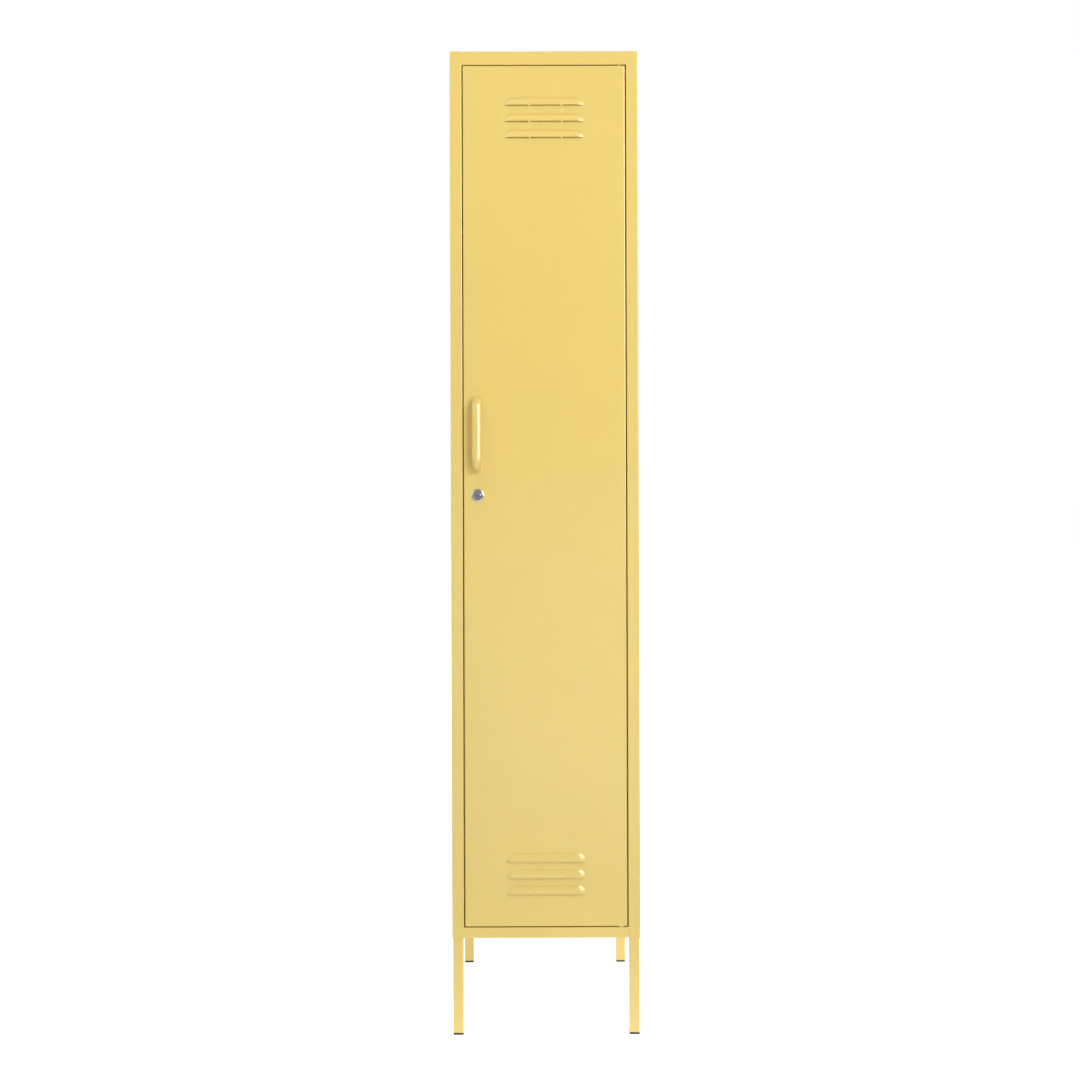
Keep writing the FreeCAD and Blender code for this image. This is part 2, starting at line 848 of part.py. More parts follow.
def door_stops():
    """Rubber bumpers and magnets on the left stop lip, which the closed door rests on."""
    reach = lip_front - d.door_depth - d.run_clearance
    start = d.door_depth + d.run_clearance
    middle = d.post_width + d.post_lip / 2
    body = new_body("door_bumpers")
    heights = [door_low + d.bumper_end, door_high - d.bumper_end]
    slab(body, "pads", "XZ", start, reach, [Disc(middle, z, d.bumper_radius) for z in heights])

    body = new_body("door_magnets")
    heights = [door_low + d.magnet_end, door_high - d.magnet_end]
    half_width = d.magnet_width / 2
    half_length = d.magnet_length / 2
    blocks = [
        rectangle(middle - half_width, z - half_length, middle + half_width, z + half_length)
        for z in heights
    ]
    slab(body, "blocks", "XZ", start, reach, blocks)


def louvre_section(sketch, slot_z, lip_y, shoulder, skin_y, top_y, rise):
    """Section of a louvre: level at the slot, an upright land, a round shoulder up to the skin."""
    land_z = slot_z + d.louvre_land
    lip = Vector(number_of(lip_y), number_of(slot_z), 0)
    land_top = Vector(lip.x, number_of(land_z), 0)
    crown = Vector(number_of(top_y), number_of(slot_z + rise), 0)
    skin_low = Vector(number_of(skin_y), lip.y, 0)
    skin_high = Vector(skin_low.x, crown.y, 0)
    radius = number_of(shoulder)
    centre = Vector(lip.x + radius, land_top.y, 0)
    turned = math.atan2(crown.y - centre.y, crown.x - centre.x)
    circle = Part.Circle(centre, Vector(0, 0, 1), radius)
    slot_line = sketch.addGeometry(Part.LineSegment(skin_low, lip), False)
    land = sketch.addGeometry(Part.LineSegment(lip, land_top), False)
    hood = sketch.addGeometry(Part.ArcOfCircle(circle, turned, math.pi), False)
    top_line = sketch.addGeometry(Part.LineSegment(crown, skin_high), False)
    skin_line = sketch.addGeometry(Part.LineSegment(skin_high, skin_low), False)
    # The shoulder runs from the crown, its start, round to the top of the land, its end.
    for one, one_end, other, other_end in (
        (slot_line, 2, land, 1),
        (land, 2, hood, 2),
        (hood, 1, top_line, 1),
        (top_line, 2, skin_line, 1),
        (skin_line, 2, slot_line, 1),
    ):
        sketch.addConstraint(Sketcher.Constraint("Coincident", one, one_end, other, other_end))
    level = (slot_line, top_line)
    upright = (land, skin_line)
    for lines, kind in ((level, "Horizontal"), (upright, "Vertical")):
        for line in lines:
            sketch.addConstraint(Sketcher.Constraint(kind, line))
    place_point(sketch, slot_line, 1, skin_y, slot_z)
    place_point(sketch, slot_line, 2, lip_y, slot_z, set_up=False)
    place_point(sketch, land, 2, lip_y, land_z, set_across=False)
    place_point(sketch, hood, 3, lip_y + shoulder, land_z)
    place_point(sketch, top_line, 1, top_y, slot_z + rise, set_across=False)


def louvre_ends(body, name, kind, start, section, slot_z):
    """The section turned a quarter round at each end of the straight part of a louvre."""
    ends = []
    straight = d.louvre_length - d.louvre_height * 2
    for label, x in (("left", start), ("right", start + straight)):
        sketch = new_sketch(body, f"{name}_{label}", "YZ", x)
        louvre_section(sketch, slot_z, *section)
        level_axis(sketch, slot_z, d.door_depth)
        ends.append(turn(body, f"{name}_{label}", kind, sketch, 90, back=label == "left"))
    return ends


def louvre_group(body, name, slot_z):
    """A row of louvres above slot_z: hoods pressed out of the skin, open below, with two bridges."""
    rise = d.louvre_height
    reach = d.louvre_projection
    wall = d.sheet
    round_rise = rise - d.louvre_land
    shoulder = (round_rise * round_rise + reach * reach) / (reach * 2)
    straight = d.louvre_length - rise * 2
    start = door_middle - straight / 2
    inner_rise = d.louvre_land + root(reach * (shoulder * 2 - wall * 2 - reach))
    hood = (-reach, shoulder, wall, Size("0"), rise)
    hollow = (wall - reach, shoulder - wall, wall * 2, wall, inner_rise)

    sketch = new_sketch(body, f"{name}_hood", "YZ", start)
    louvre_section(sketch, slot_z, *hood)
    pad = body.newObject("PartDesign::Pad", f"{body.Name}_{name}_hood")
    pad.Profile = sketch
    bind(pad, "Length", straight)
    features = [pad] + louvre_ends(body, f"{name}_hood", "Revolution", start, hood, slot_z)
    doc.recompute()
    volume = body.Shape.Volume

    sketch = new_sketch(body, f"{name}_hollow", "YZ", start)
    louvre_section(sketch, slot_z, *hollow)
    pocket = body.newObject("PartDesign::Pocket", f"{body.Name}_{name}_hollow")
    pocket.Profile = sketch
    pocket.Reversed = True
    bind(pocket, "Length", straight)
    check_cut(body, pocket, volume)
    features.append(pocket)
    volume = body.Shape.Volume
    grooves = louvre_ends(body, f"{name}_hollow", "Groove", start, hollow, slot_z)
    check_cut(body, grooves[-1], volume)
    features += grooves

    # Each bridge is a web of uncut sheet that slopes from the lip down to the skin.
    foot = slot_z - reach
    web = [
        (-reach, slot_z),
        (Size("0"), foot),
        (wall, foot),
        (wall, foot + wall),
        (wall - reach, slot_z + wall),
    ]
    first_bridge = door_middle + d.bridge_offset - (d.bridge_spacing + d.bridge_width) / 2
    for label, x in (("left", first_bridge), ("right", first_bridge + d.bridge_spacing)):
        features.append(slab(body, f"{name}_{label}_bridge", "YZ", x, d.bridge_width, [web]))
    length = d.louvre_pitch * (LOUVRE_COUNT - 1)
    repeat(body, f"{name}_row", features, "Z", length, LOUVRE_COUNT)


def handle_screw_places():
    return [(handle_x, handle_low), (handle_x, handle_high)]


def door_panel():
    """Door pan: skin, four flanges and the lips turned in behind them, with pressed louvres."""
    body = new_body("door_panel")
    wall = d.sheet
    outline = rectangle(door_left, door_low, door_right, door_high)
    slab(body, "pan", "XZ", Size("0"), d.door_depth, [outline])
    hollow = rectangle(door_left + wall, door_low + wall, door_right - wall, door_high - wall)
    cut(body, "hollow", "XZ", wall, d.door_depth - wall * 2, [hollow])
    lip = d.door_lip
    mouth = rectangle(door_left + lip, door_low + lip, door_right - lip, door_high - lip)
    cut(body, "mouth", "XZ", d.door_depth - wall, wall, [mouth])
    holes = [Disc(x, z, d.handle_screw_radius + d.hole_play) for x, z in handle_screw_places()]
    holes.append(Disc(lock_x, lock_z, d.lock_barrel_radius + d.hole_play))
    cut(body, "front_holes", "XZ", -wall, wall * 3, holes)
    pivot = Disc(hinge_x, hinge_y, bush_hole)
    cut(body, "lower_bush_hole", "XY", door_low - wall, wall * 3, [pivot])
    cut(body, "upper_bush_hole", "XY", door_high - wall * 2, wall * 3, [pivot])
    fillet(body, "upright_bends", "z", [(door_left, 0), (door_right, 0)], d.door_edge_radius)
    inside = [(door_left + wall, wall), (door_right - wall, wall)]
    fillet(body, "inner_bends", "z", inside, d.door_edge_radius - wall)
    fillet(body, "level_bends", "x", [(0, door_low), (0, door_high)], wall * 1.6)
    louvre_group(body, "lower", door_low + d.lower_louvre_rise)
    upper_low = door_high - d.upper_louvre_drop - d.louvre_pitch * (LOUVRE_COUNT - 1)
    louvre_group(body, "upper", upper_low)


def door_stiffener():
    """Hat section welded behind the skin between the two groups of louvres."""
    body = new_body("door_stiffener")
    wall = d.sheet
    half = d.stiffener_half
    edge = half + d.stiffener_flange
    top = wall + d.stiffener_height
    side_half = [
        (edge, wall),
        (half - wall, wall),
        (half - wall, top - wall),
    ]
    outer_half = [(half, top), (half, wall * 2), (edge, wall * 2)]
    profile = [(door_middle - x, y) for x, y in side_half]
    profile += [(door_middle + x, y) for x, y in reversed(side_half)]
    profile += [(door_middle + x, y) for x, y in reversed(outer_half)]
    profile += [(door_middle - x, y) for x, y in outer_half]
    rows = d.louvre_pitch * (LOUVRE_COUNT - 1)
    low = door_low + d.lower_louvre_rise + rows + d.louvre_height + d.stiffener_end
    high = door_high - d.upper_louvre_drop - rows - d.stiffener_end
    slab(body, "hat", "XY", low, high - low, [profile])


def hinge_bushes():
    """Nylon bushes in the door's flanges and the plates that stiffen the flanges there."""
    bore = Disc(hinge_x, hinge_y, bush_bore)
    rim = Disc(hinge_x, hinge_y, bush_rim_radius)
    neck = Disc(hinge_x, hinge_y, bush_radius)
    neck_length = d.sheet + d.hinge_plate

    body = new_body("lower_hinge_bush")
    rim_height = d.door_gap - d.run_clearance
    slab(body, "rim", "XY", door_low - rim_height, rim_height, [rim, bore])
    slab(body, "neck", "XY", door_low, neck_length, [neck, bore])

    body = new_body("upper_hinge_bush")
    neck_low = door_high - neck_length
    slab(body, "rim", "XY", neck_low - d.bush_rim_height, d.bush_rim_height, [rim, bore])
    slab(body, "neck", "XY", neck_low, neck_length, [neck, bore])

    # The plate's front corner stays clear of the inside of the door's bend.
    bend_inside = (d.door_edge_radius - d.sheet) * math.sqrt(0.5)
    play = d.door_edge_radius - bend_inside + d.plate_clearance / 2
    edge = door_right - play
    plate = rectangle(edge - d.hinge_plate_length, play, edge, d.door_depth - play)
    hole = Disc(hinge_x, hinge_y, bush_hole)
    starts = (("lower_hinge_plate", door_low + d.sheet), ("upper_hinge_plate", neck_low))
    for name, low in starts:
        body = new_body(name)
        slab(body, "plate", "XY", low, d.hinge_plate, [plate, hole])


def pull_handle():
    """Bow pull: a crowned oval bar whose two ends are bent back to the door."""
    body = new_body("pull_handle")
    bend = d.handle_bend
    grip_y = d.handle_thickness / 2 - d.handle_projection
    grip_low = handle_low + bend
    grip_high = handle_high - bend
    bar = (d.handle_width, d.handle_thickness, d.handle_side_radius)
    section = Oval(handle_x, grip_y, *bar)
    slab(body, "grip", "XY", grip_low, grip_high - grip_low, [section])
    for label, z in (("lower", grip_low), ("upper", grip_high)):
        sketch = new_sketch(body, f"{label}_bend", "XY", z)
        draw_oval(sketch, section)
        level_axis(sketch, grip_y + bend, d.body_width)
        turn(body, f"{label}_bend", "Revolution", sketch, 90, back=label == "upper")
    feet = [Oval(x, z, *bar) for x, z in handle_screw_places()]
    slab(body, "feet", "XZ", grip_y + bend, -grip_y - bend, feet)
    holes = [Disc(x, z, d.handle_screw_radius + d.pin_play) for x, z in handle_screw_places()]
    depth = d.handle_screw_grip + d.run_clearance
    cut(body, "screw_holes", "XZ", -depth, depth, holes)


def handle_screws():
    body = new_body("handle_screws")
    places = handle_screw_places()
    heads = [Disc(x, z, d.handle_screw_head_radius) for x, z in places]
    slab(body, "heads", "XZ", d.sheet, d.handle_screw_head, heads)
    shanks = [Disc(x, z, d.handle_screw_radius) for x, z in places]
    slab(body, "shanks", "XZ", -d.handle_screw_grip, d.handle_screw_grip + d.sheet, shanks)


def lock_housing():
    """Round lock housing turned about its axis: face with a rounded bead and a dish, and barrel."""
    body = new_body("lock_housing")
    bore = d.lock_plug_radius + d.lock_play
    back = cam_front - d.run_clearance
    face = -d.lock_face_depth
    dish = face + d.lock_dish_depth
    half = [
        (back, bore),
        (back, d.lock_barrel_radius),
        (0, d.lock_barrel_radius),
        (0, d.lock_face_radius),
        (face, d.lock_face_radius),
        (face, d.lock_dish_radius),
        (dish, d.lock_dish_floor),
        (dish, bore),
    ]
    sketch = new_sketch(body, "half", "YZ", lock_x)
    draw_outline(sketch, [(y, lock_z + radius) for y, radius in half])
    level_axis(sketch, lock_z, back)
    turn(body, "turned", "Revolution", sketch, 360)
    round_rim(body, "bead", face, d.lock_face_radius, d.lock_face_round)


def lock_nut():
    body = new_body("lock_nut")
    outline = hexagon(lock_x, lock_z, d.lock_nut_flats)
    bore = Disc(lock_x, lock_z, d.lock_barrel_radius + d.lock_play)
    slab(body, "nut", "XZ", d.sheet, d.lock_nut_height, [outline, bore])


def lock_plug():
    """Turning plug with its keyway in front and the square for the cam behind."""
    body = new_body("lock_plug")
    face = d.lock_dish_depth - d.lock_face_depth - d.lock_plug_rise
    disc = Disc(lock_x, lock_z, d.lock_plug_radius)
    slab(body, "barrel", "XZ", face, cam_front - face, [disc])
    round_rim(body, "rim", face, d.lock_plug_radius, d.lock_plug_round)
    half = d.cam_square / 2
    square = rectangle(lock_x - half, lock_z - half, lock_x + half, lock_z + half)
    slab(body, "square", "XZ", cam_front, d.cam_sheet, [square])
    wide = d.keyway_width / 2
    tall = d.keyway_height / 2
    keyway = rectangle(lock_x - wide, lock_z - tall, lock_x + wide, lock_z + tall)
    cut(body, "keyway", "XZ", face, d.keyway_depth, [keyway])
    depth = d.cam_screw_grip + d.run_clearance
    hole = Disc(lock_x, lock_z, d.cam_screw_radius + d.pin_play)
    cut(body, "screw_hole", "XZ", cam_back - depth, depth, [hole])


def lock_cam():
    """Cam that hangs down when open and turns behind the left stop lip when locked."""
    body = new_body("lock_cam")
    half = d.cam_width / 2
    square = d.cam_square / 2 + d.lock_play
    low = lock_z - cam_length
    high = lock_z + d.cam_heel
    plate = rectangle(lock_x - half, low, lock_x + half, high)
    eye = rectangle(lock_x - square, lock_z - square, lock_x + square, lock_z + square)
    slab(body, "plate", "XZ", cam_front, d.cam_sheet, [plate, eye])
    corners = [(lock_x + across, z) for across in (-half, half) for z in (low, high)]
    fillet(body, "corners", "y", corners, d.cam_corner)


def lock_cam_screw():
    body = new_body("lock_cam_screw")
    head = Disc(lock_x, lock_z, d.cam_screw_head_radius)
    slab(body, "head", "XZ", cam_back, d.cam_screw_head, [head])
    shank = Disc(lock_x, lock_z, d.cam_screw_radius)
    slab(body, "shank", "XZ", cam_back - d.cam_screw_grip, d.cam_screw_grip, [shank])


def build_carcass():
    side_panel("left_side_panel", left)
    side_panel("right_side_panel", right)
    top_panel()
    floor_panel()
    back_panel()
    for label, side in (("left", left), ("right", right)):
        for where, end in (("front", front), ("rear", rear)):
            leg(f"{where}_{label}_leg", side, end)
            foot_cap(f"{where}_{label}_foot", side, end)
    leg_bolts()
    hinge_pins()
    door_stops()


def build_shelves():
    upper_row = slot_count - UPPER_SHELF_FROM_TOP
    rows = (
        ("lower_shelf", LOWER_SHELF_ROW),
        ("middle_shelf", MIDDLE_SHELF_ROW),
        ("upper_shelf", upper_row),
    )
    for name, row in rows:
        shelf(name, row)
        shelf_clips(f"{name}_clips", row)
    hanging_rail(upper_row)


def build_door():
    door_panel()
    door_stiffener()
    hinge_bushes()
    pull_handle()
    handle_screws()
    lock_housing()
    lock_nut()
    lock_plug()
    lock_cam()
    lock_cam_screw()


build_carcass()
build_shelves()
build_door()
doc.recompute()

for thing in doc.Objects:
    if "Invalid" in thing.State or "Error" in thing.State:
        raise ValueError(f"{thing.Name} failed: {thing.State}")
for body in bodies:
    if body.Shape.isNull() or not body.Shape.isValid():
        raise ValueError(f"{body.Label} has no valid shape")

os.makedirs("parts", exist_ok=True)
for body in bodies:
    body.Shape.exportStep(f"parts/{body.Label}.step")
print(len(bodies), "pieces")
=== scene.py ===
"""Finishes, small fittings and studio for a tall sheet metal locker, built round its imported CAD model.

Lengths are metres in the row frame: the locker stands on z = 0, its door faces -Y and +X is to the
right of someone who faces the door.
"""

import json
import math

import bmesh
import bpy
import numpy as np
from mathutils import Euler, Matrix, Vector


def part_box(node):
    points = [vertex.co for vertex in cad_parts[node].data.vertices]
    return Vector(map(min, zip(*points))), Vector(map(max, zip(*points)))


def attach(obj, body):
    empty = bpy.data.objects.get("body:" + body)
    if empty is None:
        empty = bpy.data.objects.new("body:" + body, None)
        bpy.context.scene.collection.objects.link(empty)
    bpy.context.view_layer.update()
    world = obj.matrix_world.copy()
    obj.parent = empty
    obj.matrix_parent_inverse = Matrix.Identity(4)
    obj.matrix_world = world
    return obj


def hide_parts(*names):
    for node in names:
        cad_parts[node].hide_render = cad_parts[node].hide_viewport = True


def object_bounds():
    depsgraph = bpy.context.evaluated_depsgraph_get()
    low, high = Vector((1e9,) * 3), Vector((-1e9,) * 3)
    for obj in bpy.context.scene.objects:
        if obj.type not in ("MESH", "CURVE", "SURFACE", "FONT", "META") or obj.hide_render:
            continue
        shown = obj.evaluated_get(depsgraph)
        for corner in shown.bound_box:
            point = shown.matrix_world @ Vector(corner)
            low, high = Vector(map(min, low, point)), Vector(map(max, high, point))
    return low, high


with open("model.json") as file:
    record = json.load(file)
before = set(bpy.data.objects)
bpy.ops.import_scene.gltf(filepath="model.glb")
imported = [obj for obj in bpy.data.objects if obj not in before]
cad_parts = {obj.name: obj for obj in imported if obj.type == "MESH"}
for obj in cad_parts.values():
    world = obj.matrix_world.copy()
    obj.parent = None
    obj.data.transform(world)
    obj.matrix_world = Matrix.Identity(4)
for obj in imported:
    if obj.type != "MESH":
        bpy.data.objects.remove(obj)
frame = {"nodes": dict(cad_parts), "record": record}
CAD_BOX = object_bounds()

bl_info = {
    "name": "Metal locker",
    "version": (1, 0, 0),
    "blender": (4, 5, 0),
    "location": "3D View > Sidebar > Locker",
    "description": "Powder coat, fittings and studio for a sheet metal locker",
    "category": "Object",
}

SLOT_OF_NODE = {part["node"]: part["material_slot"] for part in frame["record"]["subparts"]}
WHITE = (1.0, 1.0, 1.0, 1.0)

# Detail of all noise, and the values of it between which a tone goes from 0 to 1.
NOISE_DETAIL = 3.0
TONE_FROM = 0.3
TONE_TO = 0.7

# Clouds to the metre in a coat and in the floor, and the scale that draws polish lines out along Y.
COAT_CLOUDS = 6.0
FLOOR_CLOUDS = 2.0
POLISH_STRETCH = (1.0, 0.04, 1.0)

# Points round a turned piece, their angles as one row of a grid, and the distance under which points
# at a pole or seam become one.
TURN_STEPS = 96
TURN_ANGLES = np.linspace(0.0, 2.0 * np.pi, TURN_STEPS, endpoint=False)[None, :]
MERGE_DISTANCE = 1e-7

# Rings of points on a pan head's face, the fall of its dome as a share of the head's height, the power
# of the dome's curve, and half the width of a recess's sloping wall as a share of an arm's width.
HEAD_RINGS = 40
DOME_FALL = 0.45
DOME_POWER = 2.5
RECESS_SLOPE = 0.25

# Rows of points for each turn of a thread, and the length of its runout in turns.
THREAD_ROWS = 16
THREAD_RUNOUT = 0.5

# The floor's rings, and its drop under the feet, so that the two faces don't fight.
FLOOR_RINGS = 40
FLOOR_DROP = 0.0005

# Roughness of the floor, and the tone of its darker clouds.
FLOOR_ROUGHNESS = 0.7
FLOOR_SHADE = 0.98

# Distances from the middle over which the light that the floor throws on the locker fades, and over
# which the floor fades from the locker's gloss.
LIFT_FROM = 0.2
LIFT_TO = 0.55
GLOSS_FROM = 0.55
GLOSS_TO = 1.0

# Elevations over which the studio's walls turn into its ceiling, angles from straight behind the
# camera over which the dim part of the room ends, and angles past the locker's sides over which the
# light from the rear comes up.
CEILING_FROM = math.radians(32.0)
CEILING_TO = math.radians(56.0)
BEHIND_FROM = math.radians(15.0)
BEHIND_TO = math.radians(40.0)
REAR_FROM = math.radians(5.0)
REAR_TO = math.radians(35.0)

# Width of the camera's sensor in millimetres.
SENSOR_WIDTH = 36.0


def colour_property(name, description, default):
    """A colour that a user may change, in linear values."""
    return bpy.props.FloatVectorProperty(
        name=name, description=description, default=default, size=3, min=0.0, max=1.0, subtype="COLOR"
    )


def share_property(name, description, default):
    """A value between none and all."""
    return bpy.props.FloatProperty(
        name=name, description=description, default=default, min=0.0, max=1.0, subtype="FACTOR"
    )


def length_property(name, description, default):
    """A length in metres."""
    return bpy.props.FloatProperty(
        name=name, description=description, default=default, precision=5, unit="LENGTH"
    )


def place_property(name, description, default):
    """A point in the row frame."""
    return bpy.props.FloatVectorProperty(
        name=name, description=description, default=default, size=3, subtype="TRANSLATION", unit="LENGTH"
    )


def angle_property(name, description, degrees):
    """An angle, with its default in degrees."""
    return bpy.props.FloatProperty(
        name=name, description=description, default=math.radians(degrees),
        subtype="ANGLE", unit="ROTATION",
    )


def number_property(name, description, default):
    """A plain number, such as a light's power."""
    return bpy.props.FloatProperty(name=name, description=description, default=default, min=0.0)


class LockerFinish(bpy.types.PropertyGroup):
    """Colours and gloss of the locker's finishes."""

    paint: colour_property("Paint", "Powder coat on all sheet metal", (0.80, 0.60, 0.165))
    paint_roughness: share_property("Paint roughness", "Satin gloss of the powder coat", 0.22)
    paint_specular: share_property("Paint specular", "Strength of the powder coat's highlights", 1.0)
    paint_grain: length_property("Paint grain", "Width of one dimple of the orange peel", 0.0014)
    paint_relief: length_property("Paint relief", "Depth of the orange peel", 0.00001)
    zinc: colour_property("Zinc", "Bright zinc on screws, clips and cam", (0.60, 0.60, 0.58))
    chrome: colour_property("Chrome", "Polished plate on the lock", (0.74, 0.73, 0.71))
    foot: colour_property("Foot", "Moulded foot caps", (0.045, 0.037, 0.015))
    nylon: colour_property("Nylon", "Hinge bushes", (0.86, 0.84, 0.78))
    rubber: colour_property("Rubber", "Door bumpers", (0.30, 0.30, 0.29))
    magnet: colour_property("Magnet", "Magnet strips", (0.035, 0.034, 0.033))


class LockerFittings(bpy.types.PropertyGroup):
    """Sizes of the small fittings that are added to the CAD model."""

    shank_radius: length_property("Shank radius", "Radius of the screws' shanks", 0.0019)
    recess_width: length_property("Recess width", "Width of one arm of a cross recess", 0.0011)
    recess_length: length_property("Recess length", "Length of one arm of a cross recess", 0.0044)
    recess_depth: length_property("Recess depth", "Depth of a cross recess", 0.0012)
    thread_pitch: length_property("Thread pitch", "Pitch of the thread on the lock's barrel", 0.0015)
    thread_height: length_property("Thread height", "Height of that thread over the barrel", 0.0004)


class LockerStudio(bpy.types.PropertyGroup):
    """Camera, lights, world and floor."""

    camera_place: place_property("Camera", "Where the camera stands", (-0.0181, -2.873, 0.9538))
    camera_lens: bpy.props.FloatProperty(
        name="Lens", description="Focal length on a sensor 36 mm wide", default=47.628, unit="CAMERA"
    )
    camera_tilt: angle_property("Tilt", "How far the camera looks up", 0.021)
    camera_turn: angle_property("Turn", "How far the camera looks to the right", 0.187)
    camera_roll: angle_property("Roll", "How far the camera leans", -0.182)
    camera_shift: bpy.props.FloatProperty(
        name="Shift", description="Rise of the frame, as a share of its width", default=-0.017
    )
    key_place: place_property("Key light", "Soft box to the right of the camera", (1.25, -2.65, 2.25))
    key_width: length_property("Key width", "Width of the key light", 1.2)
    key_height: length_property("Key height", "Height of the key light", 1.0)
    key_power: number_property("Key power", "Power of the key light in watts", 44.0)
    side_place: place_property(
        "Side light", "Broad soft box at the right, which shows in gloss alone", (1.95, -1.95, 1.9)
    )
    side_width: length_property("Side width", "Width of the side light", 1.9)
    side_height: length_property("Side height", "Height of the side light", 2.0)
    side_power: number_property("Side power", "Power of the side light in watts", 73.0)
    fill_place: place_property("Fill light", "Soft box above the door's left side", (-0.9, -1.3, 2.6))
    fill_width: length_property("Fill width", "Width of the fill light", 0.9)
    fill_height: length_property("Fill height", "Height of the fill light", 0.9)
    fill_power: number_property("Fill power", "Power of the fill light in watts", 6.8)
    front_place: place_property("Front light", "Low soft box in front of the door", (0.4, -3.6, 0.5))
    front_width: length_property("Front width", "Width of the front light", 2.0)
    front_height: length_property("Front height", "Height of the front light", 0.8)
    front_power: number_property("Front power", "Power of the front light in watts", 26.0)
    overhead: number_property("Overhead", "Soft light from the studio's ceiling", 0.8)
    rear: number_property("Rear", "Soft light from the room behind the locker", 0.65)
    wall_gloss: number_property("Wall gloss", "Brightness of the walls in what the locker reflects", 1.3)
    ceiling_gloss: share_property("Ceiling gloss", "Reflected ceiling, as a share of the walls", 0.12)
    behind: share_property("Behind", "Reflected room behind the camera, as a share of the walls", 0.2)
    floor: colour_property("Floor", "Pale studio floor", (0.8, 0.8, 0.8))
    floor_glow: share_property("Floor glow", "Light that the floor adds to what the camera sees", 0.9)
    floor_gloss: share_property("Floor gloss", "Brightness of the reflected floor near the legs", 0.5)
    floor_lift: share_property("Floor lift", "Light that the floor near the legs throws", 0.72)
    floor_radius: length_property("Floor radius", "Reach of the floor", 60.0)


class NodeGraph:
    """Adds nodes to a tree. A socket given as an input is linked, and anything else is its value."""

    def __init__(self, tree):
        self.tree = tree

    def add(self, kind, inputs=(), **settings):
        """A new node with its settings and inputs."""
        node = self.tree.nodes.new(kind)
        for name, value in settings.items():
            setattr(node, name, value)
        self.fill(node, inputs)
        return node

    def fill(self, node, inputs):
        """Links or sets the named inputs of a node."""
        for name, value in dict(inputs).items():
            if isinstance(value, bpy.types.NodeSocket):
                self.tree.links.new(value, node.inputs[name])
            else:
                node.inputs[name].default_value = value

    def noise(self, vector, scale):
        """Soft noise from 0 to 1."""
        inputs = {"Vector": vector, "Scale": scale, "Detail": NOISE_DETAIL}
        return self.add("ShaderNodeTexNoise", inputs).outputs["Fac"]

    def ramp(self, value, start, end, low=0.0, high=1.0):
        """A value that goes smoothly from low to high while the given one goes from start to end."""
        inputs = {"Value": value, "From Min": start, "From Max": end, "To Min": low, "To Max": high}
        return self.add("ShaderNodeMapRange", inputs, interpolation_type="SMOOTHSTEP").outputs["Result"]

    def tone(self, vector, scale):
        """Noise spread out so that it fills the range from 0 to 1."""
        return self.ramp(self.noise(vector, scale), TONE_FROM, TONE_TO)

    def between(self, share, one, other):
        """A colour from one to other."""
        ramp = self.add("ShaderNodeValToRGB", {"Fac": share})
        for element, colour in zip(ramp.color_ramp.elements, (one, other)):
            element.color = (*colour, 1.0)
        return ramp.outputs["Color"]

    def calculate(self, operation, one, other):
        """Two values put together by an operation of the Math node."""
        node = self.add("ShaderNodeMath", operation=operation)
        for socket, value in zip(node.inputs, (one, other)):
            self.tree.links.new(value, socket)
        return node.outputs["Value"]

    def stretched(self, vector, scale):
        """Coordinates multiplied by scale along each axis."""
        return self.add("ShaderNodeMapping", {"Vector": vector, "Scale": scale}).outputs["Vector"]


def new_group(name, inputs, outputs):
    """A shader node group with a vector and the named values in, and the named values out."""
    tree = bpy.data.node_groups.new(name, "ShaderNodeTree")
    tree.interface.new_socket("Vector", in_out="INPUT", socket_type="NodeSocketVector")
    for label in inputs:
        tree.interface.new_socket(label, in_out="INPUT", socket_type="NodeSocketFloat")
    for label in outputs:
        tree.interface.new_socket(label, in_out="OUTPUT", socket_type="NodeSocketFloat")
    graph = NodeGraph(tree)
    return graph, graph.add("NodeGroupInput").outputs


def coat_grain():
    """Group for sprayed and moulded surfaces: fine dimples as Height and broad cloudiness as Tone."""
    name = "coat_grain"
    if name not in bpy.data.node_groups:
        graph, given = new_group(name, ("Grain", "Cloud"), ("Height", "Tone"))
        dimples = graph.noise(given["Vector"], given["Grain"])
        cloud = graph.tone(given["Vector"], given["Cloud"])
        graph.add("NodeGroupOutput", {"Height": dimples, "Tone": cloud})
    return bpy.data.node_groups[name]


def polish_lines():
    """Group for plated metal: fine lines left by turning and drawing, drawn out along Y."""
    name = "polish_lines"
    if name not in bpy.data.node_groups:
        graph, given = new_group(name, ("Grain",), ("Tone",))
        drawn = graph.stretched(given["Vector"], POLISH_STRETCH)
        graph.add("NodeGroupOutput", {"Tone": graph.tone(drawn, given["Grain"])})
    return bpy.data.node_groups[name]


def new_material(name):
    """A material with its graph, its shader and Object coordinates."""
    material = bpy.data.materials.new(name)
    material.use_nodes = True
    graph = NodeGraph(material.node_tree)
    shader = material.node_tree.nodes["Principled BSDF"]
    return material, graph, shader, graph.add("ShaderNodeTexCoord").outputs["Object"]


def scaled(colour, share):
    """A colour multiplied by a share."""
    return tuple(share * value for value in colour)


def coated(name, colour, roughness, grain, relief, contrast=0.03, specular=0.5):
    """A sprayed or moulded surface: cloudy tone, uneven gloss and fine dimples."""
    material, graph, shader, place = new_material(name)
    coat = graph.add("ShaderNodeGroup", node_tree=coat_grain())
    graph.fill(coat, {"Vector": place, "Grain": 1.0 / grain, "Cloud": COAT_CLOUDS})
    tone = coat.outputs["Tone"]
    bump = graph.add("ShaderNodeBump", {"Height": coat.outputs["Height"], "Distance": relief})
    graph.fill(
        shader,
        {
            "Base Color": graph.between(tone, scaled(colour, 1.0 - contrast), colour),
            "Roughness": graph.ramp(tone, 0.0, 1.0, roughness + contrast, roughness),
            "Specular IOR Level": specular,
            "Normal": bump.outputs["Normal"],
        },
    )
    return material


